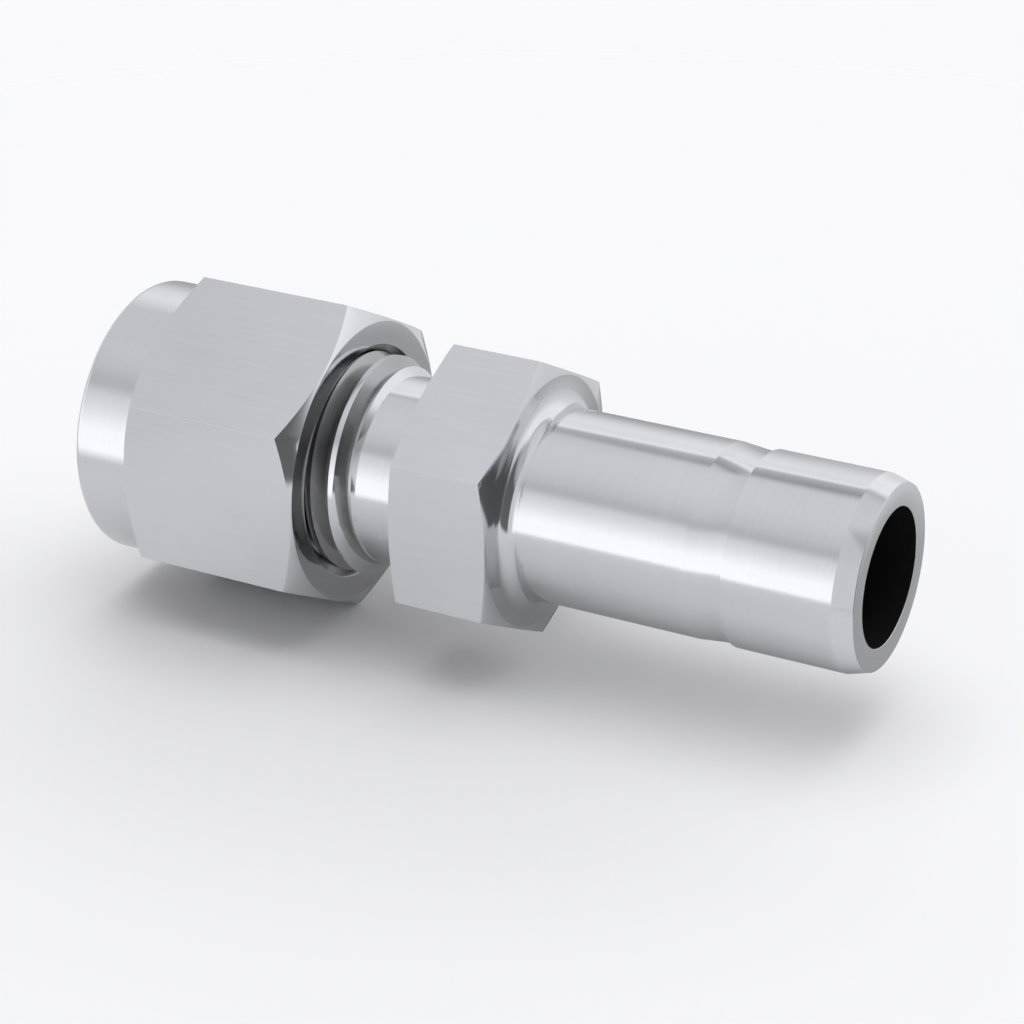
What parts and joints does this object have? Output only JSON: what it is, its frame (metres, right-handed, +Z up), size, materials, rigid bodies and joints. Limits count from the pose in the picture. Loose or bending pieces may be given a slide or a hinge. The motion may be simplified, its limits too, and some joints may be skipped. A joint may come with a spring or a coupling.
{
  "type": "tube reducer",
  "caption": "Stainless steel tube reducer: a nut with ferrules grips a thin tube, and the plain stub goes into the fitting of a thicker tube.",
  "frame": {"origin": "centre of the bounding box in X and Y, on the plane of the nut's lower flat, which is the lowest surface", "axes": "+X along the flow axis from the nut to the stub's end, +Z up through the upper flats of both hexagons"},
  "size_m": [0.0406, 0.0164, 0.0143],
  "materials": {
    "body": "bright turned and milled stainless steel",
    "nut": "bright turned and milled stainless steel",
    "front_ferrule": "bright turned stainless steel",
    "back_ferrule": "bright turned stainless steel"
  },
  "bodies": {
    "body": {"body": "body"},
    "ferrules": {"front_ferrule": "front_ferrule", "back_ferrule": "back_ferrule"},
    "nut": {"nut": "nut"}
  },
  "joints": [
    {"name": "nut_travel", "type": "slide", "parent": "body", "child": "ferrules", "axis": [-1, 0, 0], "range_m": [0, 0.0064]},
    {"name": "nut_turn", "type": "hinge", "parent": "ferrules", "child": "nut", "pos_m": [-0.01391, 0, 0.00714], "axis": [-1, 0, 0], "range_deg": [0, 1800]}
  ],
  "couplings": [
    {"joint": "nut_travel", "follows": "nut_turn", "m_per_rad": 0.00020213}
  ]
}
